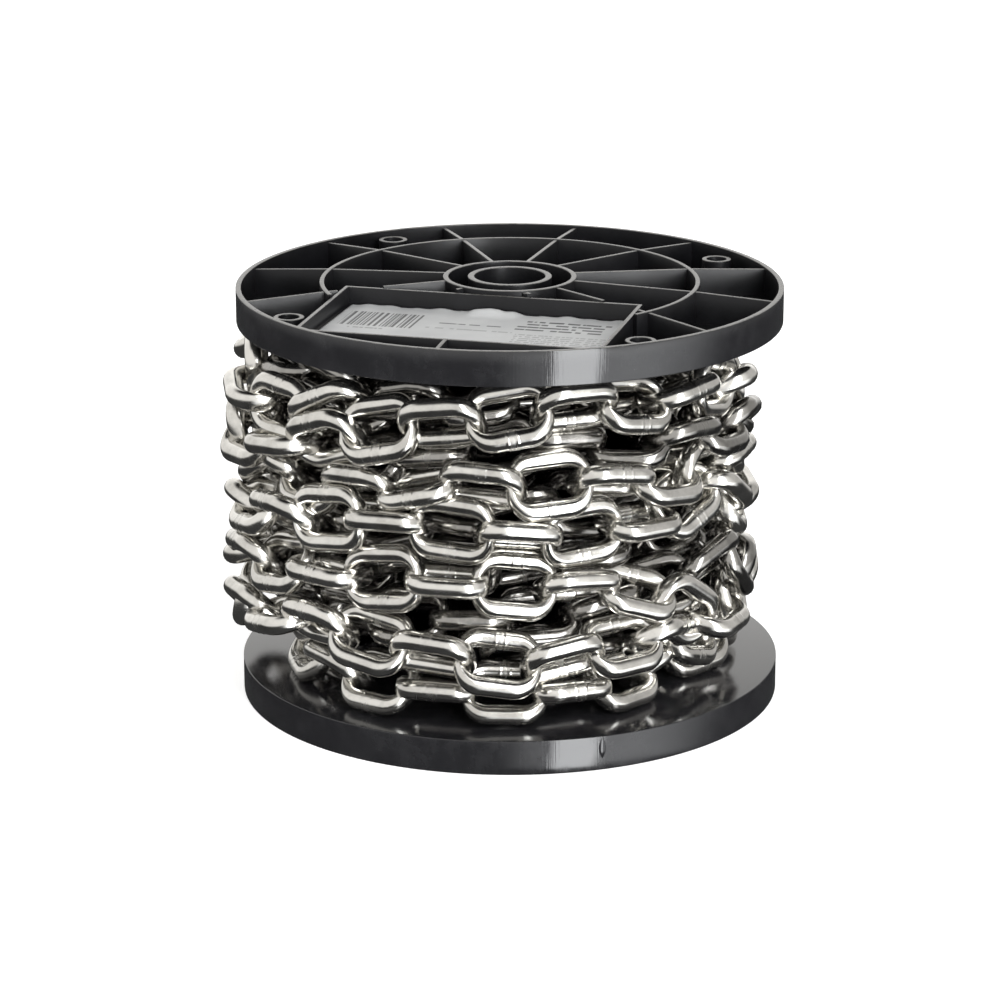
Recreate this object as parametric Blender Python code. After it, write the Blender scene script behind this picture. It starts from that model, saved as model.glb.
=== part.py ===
# Reel of polished steel chain, standing on its lower flange.
# Metres, Z up, origin in the middle of the whole thing at the floor, -Y towards the label side.

import math

import bmesh
import bpy
from mathutils import Matrix, Vector

# Reel; its axis stands right of the middle, because the chain bulges out to the left
REEL_AXIS_X = 0.0053
FLANGE_RADIUS = 0.127
FLANGE_HEIGHT = 0.020
REEL_HEIGHT = 0.195
WALL = 0.0025
WEB = 0.003
BORE_RADIUS = 0.0165
SPINDLE_TUBE_RADIUS = 0.0195
HUB_RADIUS = 0.031
MID_RING_RADIUS = 0.0882
RING_WALL = 0.0022
RIM_SEGMENTS = 48

# Tops of the upper flange's rings over its chain side; the hub stands proud of the rim
HUB_TOP = 0.0233
MID_RING_TOP = 0.0216
RIB_END_TOP = 0.0192
RIB_DROP = 0.0004
RIB_COUNT = 12
RIB_THICKNESS = 0.0022
BOSS_ANGLES = (-30, 60, 150, 240)
BOSS_CIRCLE = 0.1145
BOSS_RADIUS = 0.007
BOSS_HOLE_RADIUS = 0.0048
BOSS_TOP = 0.018
BOSS_SEGMENTS = 12

# Label pocket, in a frame turned with the ribs: across, then out from the axis
POCKET_TURN = math.radians(-15)
POCKET_HALF_WIDTH = 0.0705
POCKET_NEAR = 0.0302
POCKET_FAR = 0.1085
POCKET_CORNER_ACROSS = 0.0635
POCKET_CORNER_OUT = 0.1040
POCKET_CORNER_INSET = 0.6
POCKET_TOP_NEAR = 0.0213
POCKET_TOP_FAR = 0.0196
POCKET_FLOOR = 0.0130
POCKET_FLOOR_THICKNESS = 0.0025
LABEL_HALF_WIDTH = 0.0660
LABEL_NEAR = 0.0345
LABEL_FAR = 0.1000
LABEL_THICKNESS = 0.0004

# Drum
DRUM_SEGMENTS = 36
FIN_COUNT = 6

# Gap left between pieces that touch
GAP = 0.0003

# Chain
WIRE_RADIUS = 0.00355
CROWN_FLATNESS = 0.70
LINK_WIDTH = 0.0315
CORNER_ALONG = 0.0055
CORNER_ACROSS = 0.0060
LINK_TILT = math.radians(37)
CORNER_FACINGS = (math.radians(68), math.radians(22))
WIRE_SIDES = 5
# Five-sided wire is drawn this much wider, to come nearer to the steel in round wire
WIRE_OVERSIZE = 1.08
JOIN_OVERLAP = 0.0012

# Winding: six outer turns, and one turn of the layer below that shows at the foot.
# It lies a little to the left of the reel's axis.
WINDING_SHIFT = -0.010
OUTER_TURN_RADIUS = 0.1139
OUTER_TURN_LINKS = 24
OUTER_TURN_HEIGHTS = (0.0329, 0.0550, 0.0771, 0.0992, 0.1213, 0.1434)
FOOT_TURN_RADIUS = 0.0940
FOOT_TURN_LINKS = 20
FOOT_TURN_HEIGHT = 0.0111
CORE_FOOT_RADIUS = 0.0795
CORE_RADIUS = 0.0870
CORE_STEP = 0.0230
CORE_SEGMENTS = 48


def clear_scene():
    for item in list(bpy.data.objects):
        bpy.data.objects.remove(item, do_unlink=True)


def make_material(name, color, roughness, metallic):
    material = bpy.data.materials.new(name)
    material.use_nodes = True
    shader = material.node_tree.nodes["Principled BSDF"]
    shader.inputs["Base Color"].default_value = (*color, 1.0)
    shader.inputs["Roughness"].default_value = roughness
    shader.inputs["Metallic"].default_value = metallic
    material.diffuse_color = (*color, 1.0)
    return material


def add_object(name, bm):
    bmesh.ops.remove_doubles(bm, verts=bm.verts, dist=1e-6)
    bmesh.ops.recalc_face_normals(bm, faces=bm.faces)
    mesh = bpy.data.meshes.new(name)
    bm.to_mesh(mesh)
    bm.free()
    item = bpy.data.objects.new(name, mesh)
    bpy.context.scene.collection.objects.link(item)
    return item


def finish(item, material):
    item.data.materials.clear()
    item.data.materials.append(material)
    return item


def combine(item, tool, operation):
    modifier = item.modifiers.new(operation.title(), "BOOLEAN")
    modifier.operation = operation
    modifier.solver = "EXACT"
    modifier.object = tool
    depsgraph = bpy.context.evaluated_depsgraph_get()
    mesh = bpy.data.meshes.new_from_object(item.evaluated_get(depsgraph))
    item.modifiers.clear()
    item.data = mesh
    bpy.data.objects.remove(tool, do_unlink=True)


# Closed outline of (radius, height) points turned round the Z axis
def lathe(name, outline, segments):
    bm = bmesh.new()
    rings = []
    for radius, height in outline:
        ring = []
        for step in range(segments):
            angle = 2 * math.pi * step / segments
            ring.append(bm.verts.new((radius * math.cos(angle), radius * math.sin(angle), height)))
        rings.append(ring)
    for index, ring in enumerate(rings):
        following = rings[(index + 1) % len(rings)]
        for step in range(segments):
            after = (step + 1) % segments
            bm.faces.new((ring[step], ring[after], following[after], following[step]))
    return add_object(name, bm)


# Upright prism over a plan outline, with its own top height for each corner
def prism(name, corners, bottom, tops):
    bm = bmesh.new()
    low = [bm.verts.new((x, y, bottom)) for x, y in corners]
    high = [bm.verts.new((x, y, top)) for (x, y), top in zip(corners, tops)]
    bm.faces.new(low)
    bm.faces.new(high)
    for index in range(len(corners)):
        after = (index + 1) % len(corners)
        bm.faces.new((low[index], low[after], high[after], high[index]))
    return add_object(name, bm)


# Flange rings in one turned outline, chain side at height 0
def flange_disc(name, hub_top, mid_top):
    rim_inside = FLANGE_RADIUS - WALL
    outline = (
        (BORE_RADIUS, 0.0),
        (BORE_RADIUS, hub_top),
        (SPINDLE_TUBE_RADIUS, hub_top),
        (SPINDLE_TUBE_RADIUS, WEB),
        (HUB_RADIUS - WALL, WEB),
        (HUB_RADIUS - WALL, hub_top),
        (HUB_RADIUS, hub_top),
        (HUB_RADIUS, WEB),
        (MID_RING_RADIUS - RING_WALL, WEB),
        (MID_RING_RADIUS - RING_WALL, mid_top),
        (MID_RING_RADIUS, mid_top),
        (MID_RING_RADIUS, WEB),
        (rim_inside, WEB),
        (rim_inside, FLANGE_HEIGHT),
        (FLANGE_RADIUS, FLANGE_HEIGHT),
        (FLANGE_RADIUS, 0.0),
    )
    return lathe(name, outline, RIM_SEGMENTS)


# One rib standing on the web, its top following the rings
def rib(angle, hub_top, mid_top, end_top):
    inner = HUB_RADIUS - WALL / 2
    outer = FLANGE_RADIUS - WALL / 2
    side = (
        (inner, WEB / 2),
        (outer, WEB / 2),
        (outer, end_top - RIB_DROP),
        (MID_RING_RADIUS - RING_WALL / 2, mid_top - RIB_DROP),
        (inner, hub_top - RIB_DROP),
    )
    bm = bmesh.new()
    left = [bm.verts.new((-RIB_THICKNESS / 2, r, z)) for r, z in side]
    right = [bm.verts.new((RIB_THICKNESS / 2, r, z)) for r, z in side]
    bm.faces.new(left)
    bm.faces.new(right)
    for index in range(len(side)):
        after = (index + 1) % len(side)
        bm.faces.new((left[index], left[after], right[after], right[index]))
    bmesh.ops.rotate(bm, verts=bm.verts, matrix=Matrix.Rotation(-angle, 3, "Z"))
    return add_object("rib", bm)


def boss(angle, radius, bottom, top):
    post = lathe("boss", ((0.0, bottom), (0.0, top), (radius, top), (radius, bottom)), BOSS_SEGMENTS)
    centre = Vector((BOSS_CIRCLE * math.sin(angle), BOSS_CIRCLE * math.cos(angle), 0.0))
    post.data.transform(Matrix.Translation(centre))
    return post


def ribbed_flange(name, hub_top, mid_top, end_top):
    flange = flange_disc(name, hub_top, mid_top)
    for index in range(RIB_COUNT):
        angle = 2 * math.pi * (index + 0.5) / RIB_COUNT
        combine(flange, rib(angle, hub_top, mid_top, end_top), "UNION")
    for degrees in BOSS_ANGLES:
        angle = math.radians(degrees)
        combine(flange, boss(angle, BOSS_RADIUS, WEB / 2, BOSS_TOP), "UNION")
        combine(flange, boss(angle, BOSS_HOLE_RADIUS, WEB, BOSS_TOP + WEB), "DIFFERENCE")
    return flange


# Turns a point of the pocket's frame into plan coordinates
def pocket_point(across, out):
    cosine = math.cos(POCKET_TURN)
    sine = math.sin(POCKET_TURN)
    return (across * cosine + out * sine, across * sine - out * cosine)


def pocket_outline(inset):
    half = POCKET_HALF_WIDTH - inset
    corner = POCKET_CORNER_ACROSS - inset * POCKET_CORNER_INSET
    near = POCKET_NEAR + inset
    far = POCKET_FAR - inset
    shoulder = POCKET_CORNER_OUT - inset
    frame = ((-half, near), (half, near), (half, shoulder), (corner, far), (-corner, far), (-half, shoulder))
    return [pocket_point(across, out) for across, out in frame]


# The web steps up under the label and is hollow on the chain side
def add_label_pocket(flange):
    tops = (POCKET_TOP_NEAR, POCKET_TOP_NEAR, POCKET_TOP_FAR, POCKET_TOP_FAR, POCKET_TOP_FAR, POCKET_TOP_FAR)
    combine(flange, prism("pocket", pocket_outline(0.0), WEB / 2, tops), "UNION")
    above = (2 * FLANGE_HEIGHT,) * 6
    combine(flange, prism("pocket_hollow", pocket_outline(WALL), POCKET_FLOOR, above), "DIFFERENCE")
    underside = (POCKET_FLOOR - POCKET_FLOOR_THICKNESS,) * 6
    combine(flange, prism("pocket_underside", pocket_outline(2 * WALL), -WEB, underside), "DIFFERENCE")


def make_upper_flange(material):
    flange = ribbed_flange("upper_flange", HUB_TOP, MID_RING_TOP, RIB_END_TOP)
    add_label_pocket(flange)
    flange.data.transform(Matrix.Translation((0.0, 0.0, REEL_HEIGHT - FLANGE_HEIGHT)))
    return finish(flange, material)


# The lower flange stands on its rim and hub, which end level with each other
def make_lower_flange(material):
    level = FLANGE_HEIGHT
    flange = ribbed_flange("lower_flange", level, RIB_END_TOP, RIB_END_TOP)
    flange.data.transform(Matrix.Rotation(math.pi, 4, "X"))
    flange.data.transform(Matrix.Translation((0.0, 0.0, FLANGE_HEIGHT)))
    return finish(flange, material)


# Barrel and spindle tube joined by fins, open at both ends
def make_drum(material):
    bottom = FLANGE_HEIGHT + GAP
    top = REEL_HEIGHT - FLANGE_HEIGHT - GAP
    inside = HUB_RADIUS - WALL
    barrel = ((inside, bottom), (inside, top), (HUB_RADIUS, top), (HUB_RADIUS, bottom))
    tube = ((BORE_RADIUS, bottom), (BORE_RADIUS, top), (SPINDLE_TUBE_RADIUS, top), (SPINDLE_TUBE_RADIUS, bottom))
    drum = lathe("drum", barrel, DRUM_SEGMENTS)
    combine(drum, lathe("tube", tube, DRUM_SEGMENTS), "UNION")
    start = SPINDLE_TUBE_RADIUS - WALL / 2
    end = HUB_RADIUS - WALL / 2
    half = RIB_THICKNESS / 2
    for index in range(FIN_COUNT):
        fin = prism("fin", ((-half, start), (half, start), (half, end), (-half, end)), bottom + WEB, (top - WEB,) * 4)
        fin.data.transform(Matrix.Rotation(2 * math.pi * index / FIN_COUNT, 4, "Z"))
        combine(drum, fin, "UNION")
    return finish(drum, material)


def make_label(material):
    frame = (
        (-LABEL_HALF_WIDTH, LABEL_NEAR),
        (LABEL_HALF_WIDTH, LABEL_NEAR),
        (LABEL_HALF_WIDTH, LABEL_FAR),
        (-LABEL_HALF_WIDTH, LABEL_FAR),
    )
    corners = [pocket_point(across, out) for across, out in frame]
    bottom = REEL_HEIGHT - FLANGE_HEIGHT + POCKET_FLOOR + GAP
    label = prism("label", corners, bottom, (bottom + LABEL_THICKNESS,) * 4)
    return finish(label, material)


# Hidden inner layers as one plain body round the drum, smaller under the foot turn
def make_winding_core(material):
    bottom = FLANGE_HEIGHT + GAP
    step = FLANGE_HEIGHT + CORE_STEP
    top = REEL_HEIGHT - FLANGE_HEIGHT - GAP
    bore = HUB_RADIUS + GAP
    loops = (
        (bore, 0.0, bottom),
        (bore, 0.0, top),
        (CORE_RADIUS, WINDING_SHIFT, top),
        (CORE_RADIUS, WINDING_SHIFT, step),
        (CORE_FOOT_RADIUS, WINDING_SHIFT, step),
        (CORE_FOOT_RADIUS, WINDING_SHIFT, bottom),
    )
    bm = bmesh.new()
    rings = []
    for radius, shift, height in loops:
        ring = []
        for index in range(CORE_SEGMENTS):
            angle = 2 * math.pi * index / CORE_SEGMENTS
            ring.append(bm.verts.new((shift + radius * math.cos(angle), radius * math.sin(angle), height)))
        rings.append(ring)
    for index, ring in enumerate(rings):
        following = rings[(index + 1) % len(rings)]
        for start in range(CORE_SEGMENTS):
            after = (start + 1) % CORE_SEGMENTS
            bm.faces.new((ring[start], ring[after], following[after], following[start]))
    return finish(add_object("winding_core", bm), material)


# Centre line of a link in its own plane: along, across, wire flatness, direction of the wire's outside
def link_path(pitch):
    along = (pitch + 2 * WIRE_RADIUS * CROWN_FLATNESS - JOIN_OVERLAP) / 2
    across = LINK_WIDTH / 2 - WIRE_RADIUS
    quarter = (
        (along - CORNER_ALONG, across, 1.0, CORNER_FACINGS[0]),
        (along, across - CORNER_ACROSS, CROWN_FLATNESS, CORNER_FACINGS[1]),
    )
    points = []
    for sign_along, sign_across, order in ((1, 1, 1), (1, -1, -1), (-1, -1, 1), (-1, 1, -1)):
        for x, y, flatness, facing in quarter[::order]:
            outside = Vector((sign_along * math.cos(facing), sign_across * math.sin(facing)))
            points.append((sign_along * x, sign_across * y, flatness, outside))
    return points


def add_link(bm, pitch, tilt, place):
    turned = Matrix.Rotation(tilt, 4, "X")
    loops = []
    for x, y, flatness, outside in link_path(pitch):
        loop = []
        for side in range(WIRE_SIDES):
            angle = 2 * math.pi * side / WIRE_SIDES + math.pi
            reach = WIRE_RADIUS * WIRE_OVERSIZE * flatness * math.cos(angle)
            lift = WIRE_RADIUS * WIRE_OVERSIZE * math.sin(angle)
            point = Vector((x + outside.x * reach, y + outside.y * reach, lift))
            loop.append(bm.verts.new(place @ (turned @ point)))
        loops.append(loop)
    for index, loop in enumerate(loops):
        following = loops[(index + 1) % len(loops)]
        for side in range(WIRE_SIDES):
            after = (side + 1) % WIRE_SIDES
            bm.faces.new((loop[side], loop[after], following[after], following[side]))


# Every second link of a turn, standing clear of each other
def half_turn(name, radius, links, first, tilt):
    bm = bmesh.new()
    pitch = 2 * radius * math.sin(math.pi / links)
    for index in range(first, links, 2):
        turn = Matrix.Rotation(2 * math.pi * index / links, 4, "Z")
        # Link frame: X along the turn, Y outwards, Z up
        place = turn @ Matrix.Translation((0.0, radius, 0.0))
        add_link(bm, pitch, tilt, place)
    return add_object(name, bm)


# A closed turn of linked chain, joined where its links bear on each other
def chain_turn_mesh(name, radius, links):
    turn = half_turn(name, radius, links, 0, LINK_TILT)
    combine(turn, half_turn("others", radius, links, 1, -LINK_TILT), "UNION")
    return turn


def make_chain_turns(material):
    foot = chain_turn_mesh("chain_turn_1", FOOT_TURN_RADIUS, FOOT_TURN_LINKS)
    foot.location = (WINDING_SHIFT, 0.0, FLANGE_HEIGHT + FOOT_TURN_HEIGHT)
    finish(foot, material)
    first = chain_turn_mesh("chain_turn_2", OUTER_TURN_RADIUS, OUTER_TURN_LINKS)
    finish(first, material)
    for index, height in enumerate(OUTER_TURN_HEIGHTS):
        turn = first
        if index > 0:
            turn = bpy.data.objects.new("chain_turn_%d" % (index + 2), first.data)
            bpy.context.scene.collection.objects.link(turn)
        turn.location = (WINDING_SHIFT, 0.0, FLANGE_HEIGHT + height)
        turn.rotation_euler.z = math.pi / OUTER_TURN_LINKS * (index % 4)


def main():
    clear_scene()
    plastic = make_material("black_moulded_plastic", (0.016, 0.016, 0.018), 0.35, 0.0)
    steel = make_material("polished_chain_steel", (0.66, 0.65, 0.62), 0.14, 1.0)
    hidden = make_material("inner_chain_steel", (0.12, 0.115, 0.11), 0.4, 1.0)
    paper = make_material("label_paper", (0.70, 0.70, 0.68), 0.6, 0.0)
    make_lower_flange(plastic)
    make_drum(plastic)
    make_winding_core(hidden)
    make_chain_turns(steel)
    make_upper_flange(plastic)
    make_label(paper)
    for item in bpy.data.objects:
        item.location.x += REEL_AXIS_X


main()
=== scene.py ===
# Looks for the reel of polished steel chain: a black moulded reel wound full of welded-link chain.
# Sizes are in millimetres and turned to metres where meshes are made. Only the floor is in metres.

import math

import bpy
import numpy as np
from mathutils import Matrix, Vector


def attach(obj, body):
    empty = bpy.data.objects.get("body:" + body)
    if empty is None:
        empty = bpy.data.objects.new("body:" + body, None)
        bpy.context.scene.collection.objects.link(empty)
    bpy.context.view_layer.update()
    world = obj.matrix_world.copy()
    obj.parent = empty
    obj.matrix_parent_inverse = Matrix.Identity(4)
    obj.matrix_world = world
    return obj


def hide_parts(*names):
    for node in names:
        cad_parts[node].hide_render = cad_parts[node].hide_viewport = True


MM = 0.001

# Reel: the height is over both rims
REEL_AXIS_X = 5.3
FLANGE_RADIUS = 127.0
FLANGE_HEIGHT = 16.0
REEL_HEIGHT = 195.0
WALL = 2.5
WEB = 2.2
BORE_RADIUS = 16.5
SPINDLE_TUBE_RADIUS = 19.5
HUB_RADIUS = 31.0
MID_RING_RADIUS = 88.2
RING_WALL = 2.2
TURNED_SEGMENTS = 192
TUBE_SEGMENTS = 96
BOSS_SEGMENTS = 40
RING_STEPS = 360
RIB_STEPS = 120
EDGE_ROUND = 0.4
# Most of a side that a rounded corner takes, and the limit of a wall's mitre
LONGEST_CUT = 0.45
MITRE_LIMIT = 0.5
# Walls start this far inside the web they stand on
SUNK = 0.5

# Ribs, rings and bosses, with heights over the chain side of a flange
HUB_TOP = 19.3
MID_RING_TOP = 17.6
RIB_END_TOP = 15.2
RIB_DROP = 0.4
RIB_COUNT = 12
RIB_THICKNESS = 2.0
BOSS_ANGLES = (-30, 60, 150, 240)
BOSS_CIRCLE = 114.5
BOSS_RADIUS = 7.0
BOSS_HOLE_RADIUS = 4.8
BOSS_TOP = 14.0
# Level over the chain side from which the upward tops of edges get a painted highlight
EDGE_LEVEL = 12.0

# Moulding gate stub on the hub's front
STUB_ANGLE = math.radians(166)
STUB_RADIUS = 1.9
STUB_DEPTHS = (3.0, 0.6)

# Drum between the flanges, with a small gap to each
DRUM_GAP = 0.3
DRUM_RIBS = 6
DRUM_RIB_INSET = 3.0

# Lens-shaped mark on the lower rim: its skin stands off the rim and its back lies inside it
MARK_ANGLE = math.radians(19.0)
MARK_HEIGHT = 10.5
MARK_LENGTH = 11.0
MARK_WIDTH = 3.7
MARK_SWELL = 0.5
MARK_SKIN = 0.08
MARK_BACK = 0.6

# Label pocket in a frame turned with the ribs: across, then out from the axis
POCKET_TURN = math.radians(-15)
POCKET_COSINE = math.cos(POCKET_TURN)
POCKET_SINE = math.sin(POCKET_TURN)
POCKET_HALF_WIDTH = 70.5
POCKET_NEAR = 30.2
POCKET_FAR = 108.5
POCKET_CORNER_ACROSS = 63.5
POCKET_CORNER_OUT = 104.0
POCKET_TOP_NEAR = 17.3
POCKET_TOP_FAR = 15.6
POCKET_FLOOR = 9.0

# Label. Its back edge lifts in a low wave and in blisters (place across, half width, height)
LABEL_HALF_WIDTH = 66.0
LABEL_NEAR = 34.5
LABEL_FAR = 100.0
LABEL_THICKNESS = 0.3
LABEL_GAP = 0.3
WAVE_LIFT = 0.35
WAVE_DEPTH = 5.0
BLISTERS = ((-2.0, 7.0, 2.6), (8.5, 5.0, 1.5))
BLISTER_PLACE = 3.0
BLISTER_DEPTH = 4.0

# Chain. The crown is the wire's thickness along the strand where two links bear on each other.
WIRE = 9.3
PITCH = 29.8
CROWN = 4.9
LINK_WIDTH = 31.8
LINK_CORNER = 9.6
WINDING_X = REEL_AXIS_X - 10.0
CHAMBER = REEL_HEIGHT - 2 * FLANGE_HEIGHT
# Surface that the links keep inside of, and the barrel that they keep outside of
OUTER_LIMIT = 127.0
INNER_LIMIT = HUB_RADIUS + 0.3
# Slack of a link where joints are spaced by count
LISTED_SLACK = 0.25
HELIX_SLACK = 0.1
# Rolls that the photo doesn't give: middle and spread in degrees
FREE_ROLL = 45
FREE_ROLL_SPREAD = 14
CHAIN_SEED = 7

# Meshes of a link: points round the wire, and steps round a corner
FINE_LINK = (18, 8)
PLAIN_LINK = (12, 4)
ROUGH_LINK = (8, 3)
# Places along a welded bar, the wire's rise at some of them, and places along a plain bar
WELD_MARKS = (-6.6, -3.4, -2.6, -2.2, -1.8, -0.8, 0.8, 1.8, 2.2, 2.6, 3.4, 6.6)
WELD_RISE = {2.6: 0.05, 2.2: 0.20, 1.8: 0.06, 0.8: 0.12}
PLAIN_MARKS = (-6.0, 0.0, 6.0)
# Stands for any place that isn't near the weld
NO_WELD = 99.0

# Outer layer as the photo shows its front, row by row from the foot. Each joint between two links
# has its angle in degrees (0 in front, + to the right), height and radius, and then the roll of the
# link that follows: 0 lies flat on the winding, 90 stands on edge, + has its upper bar outwards.
FOOT_ROW = (
    (-100, 12, 84, 40), (-76, 12, 87, -40), (-55, 12, 94, 45), (-37, 14, 100, -45), (-20.6, 15, 104, 75),
    (-3.8, 15, 104, -50), (13, 15, 104, 80), (29, 14, 103, -45), (46, 14, 98, 45), (64, 14, 94, -45),
)
FIRST_ROW = (
    (-79.7, 32.5, 118, 50), (-63, 35, 116, 85), (-51.5, 39.4, 114, 50), (-34.7, 42.9, 114, -45),
    (-19.7, 36.3, 114, 45), (-4.5, 36.2, 114, -40), (10.7, 29.6, 114, 45), (26.2, 34.5, 114, -50),
    (40, 37.8, 111, 50), (53, 28, 105, -45), (69, 19, 107, 45), (84, 16, 109, -45),
)
SECOND_ROW = (
    (-78.6, 56, 114, 45), (-63, 62, 114, -45), (-48.1, 67.4, 114, 90), (-32.6, 66.9, 114, 0),
    (-17.2, 71.1, 114, 88), (-2.7, 70.4, 114, -10), (13, 65.8, 114, 50), (31, 59, 105, -55),
    (47.3, 50, 114, 21), (57.5, 31, 121, 90), (71, 33, 121, 0), (84, 30, 118, 60),
)
THIRD_ROW = (
    (-76, 81.9, 114, -45), (-61, 86, 114, 40), (-46, 89.7, 114, 5), (-30.7, 95.1, 114, 85),
    (-16.2, 99.2, 114, 0), (-0.9, 93.7, 114, 65), (14.5, 88.8, 114, 10), (29.5, 91.5, 113, -60),
    (47, 85, 110, -48), (61.5, 100, 118, 80), (72.5, 81, 118, 0), (85, 74, 116, 80),
)
FOURTH_ROW = (
    (-76, 104, 108, 45), (-59, 105, 107, -45), (-40, 107, 108, 45), (-22.1, 110.4, 113, -80),
    (-9, 115.8, 114, 48), (6.6, 111.8, 114, -20), (21.4, 116.6, 114, 50), (37.9, 115, 114, -45),
    (53, 109, 112, 10), (67, 107, 112, 60), (82, 106, 112, -20),
)
FIFTH_ROW = (
    (-79, 114, 120, -45), (-63, 118, 118, 88), (-47.6, 123.7, 115, 48), (-30.6, 134.9, 114, -48),
    (-16.7, 142.1, 114, 48), (-1.5, 145.8, 114, -48), (13.7, 149.5, 114, 50), (27.7, 149.0, 114, -45),
    (42.9, 144.1, 114, 85), (57.5, 146, 117, 10), (70, 139, 113, 60), (84, 131, 109, -20),
)
STRAND_END = (
    (-137, 152, 104, -45), (-120, 155, 103, 45), (-104, 157, 103, -45), (-91, 154, 106, 0),
    (-78, 143, 109, 90), (-66, 134, 110, 10), (-52, 134, 105, 50), (-36, 145, 101, 45),
)
OUTER_ROWS = (FOOT_ROW, FIRST_ROW, SECOND_ROW, THIRD_ROW, FOURTH_ROW, FIFTH_ROW, STRAND_END)
OUTER_BACK_RADIUS = 111.0

# Second layer in the same way, with joints only where it shows between the outer rows
SECOND_LAYER_ROWS = (
    ((0, 26, 84, 45),),
    (
        (-48.5, 44, 92, 45), (-31, 45, 96, -45), (-13.6, 45.4, 98, 90), (3.7, 45, 98, -45),
        (21.5, 48, 98, 45), (39.5, 52, 101, -45), (57, 53.5, 111, 38), (73.5, 66, 118, -20),
        (82, 46, 118, 40), (97, 44, 108, -45),
    ),
    ((0, 69, 91, 45),),
    ((0, 91, 91, 45),),
    (
        (-58, 108, 94, 45), (-40.5, 112, 98, -45), (-23, 118.5, 98, 90), (-5.2, 121.5, 98, -45),
        (12.5, 130, 99, 90), (29, 129, 102, -50), (43, 124, 109, 50), (55.5, 121, 117, -50),
        (70, 122, 120, 60), (84, 117, 118, -45),
    ),
    (
        (-66, 131, 93, 45), (-48, 137, 93, -45), (-30, 142, 95, 45), (-12, 148, 96, -45),
        (6, 151, 96, 45), (24, 151, 96, -45), (42, 151, 96, 45), (60, 151, 95, -45),
    ),
    ((-55, 152, 97, 45), (-37, 152, 98, -45), (-19, 152, 94, 45)),
)
SECOND_BACK_RADIUS = 91.0

# Layers below: radius, number of rows, lowest and highest row, starting angle
INNER_LAYERS = ((69.0, 7, 13.0, 150.0, 20.0), (47.0, 7, 13.0, 150.0, 70.0))

# Studio: (angle, brightness) round the surround, its two ends first, and its heights. Then the
# windows: sides in degrees, heights, strength. The last is a faint glow from all round below.
SURROUND = (
    (-180, 1.35), (180, 1.35), (-150, 1.1), (-120, 0.95), (-60, 1.0),
    (55, 1.0), (85, 0.55), (140, 0.6), (160, 1.1),
)
SURROUND_HEIGHTS = (-0.22, -0.04, 0.68, 0.90)
SURROUND_STRENGTH = 1.05
WINDOWS = (
    ((17.5, 18.2, 37.2, 38.2), (-0.50, -0.48, 0.74, 0.80), 9.5),
    ((37.5, 39.0, 50.0, 108.0), (-0.50, -0.45, -0.12, -0.05), 2.4),
    ((-8.0, 10.0, 17.5, 18.2), (-0.50, -0.45, -0.12, -0.05), 1.2),
    ((-181.0, -180.5, 180.5, 181.0), (-1.10, -1.05, -0.20, 0.0), 0.05),
)
FLOOR_GLOW = 0.6

# Settling of the links against each other, in mm or radians a step
SETTLE_STEPS = 200
CONTACT_SAMPLES = 28
LEAST_ROLL_STEP = math.radians(58)
ROLL_SHARE = 0.25
ROLL_ROUNDS = 2
PITCH_ROUNDS = 12
PUSH_GAIN = 2.2
LONGEST_MOVE = 2.5
TWIST_LEVER = 110.0
MOST_TWIST = 0.12
# Pull towards the winding's axis: for which share of the steps, how far, and how much less for a
# joint that the photo gives
TIGHTEN_UNTIL = 0.6
TIGHTEN = 0.1
TIGHTEN_RELIEF = 0.8
# Pull of joints and links that the photo gives back to their places, weaker along the line of sight
HOLD_JOINT = 0.12
HOLD_ROLL = 0.15
SIGHT_RELIEF = 0.7

# Camera, fitted to both rims
CAMERA_ELEVATION = math.radians(16.75)
CAMERA_DISTANCE = 1679.0
CAMERA_LENS = 128.1
CAMERA_SHIFT = (-0.0098, -0.0163)


def linear_colour(code):
    values = [int(code[i:i + 2], 16) / 255 for i in (1, 3, 5)]
    return tuple(v / 12.92 if v <= 0.04045 else ((v + 0.055) / 1.055) ** 2.4 for v in values) + (1.0,)


# Links a socket from another one, or sets it to a value
def feed(socket, source):
    if isinstance(source, bpy.types.NodeSocket):
        socket.id_data.links.new(source, socket)
    else:
        socket.default_value = source


def add_node(tree, kind, inputs=(), **settings):
    node = tree.nodes.new(kind)
    for name, value in settings.items():
        setattr(node, name, value)
    for name, source in dict(inputs).items():
        feed(node.inputs[name], source)
    return node


def new_material(name):
    material = bpy.data.materials.new(name)
    material.use_nodes = True
    tree = material.node_tree
    shader = tree.nodes["Principled BSDF"]
    return material, tree, shader


def add_object(name, data):
    item = bpy.data.objects.new(name, data)
    bpy.context.scene.collection.objects.link(item)
    return item


def make_piece(name, points, faces, material, replaces):
    mesh = bpy.data.meshes.new(name)
    points = np.asarray(points, np.float64) * MM
    mesh.from_pydata([tuple(p) for p in points], [], faces)
    mesh.validate()
    mesh.shade_smooth()
    item = add_object(name, mesh)
    mesh.materials.append(material)
    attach(item, "root")
    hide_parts(*replaces)
    return item


# Mesh parts gathered as points and faces, so one piece can hold many
class Shape:
    def __init__(self):
        self.points = []
        self.faces = []

    def add(self, points, faces):
        start = len(self.points)
        self.points.extend(points)
        self.faces.extend([tuple(start + i for i in face) for face in faces])


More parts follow.
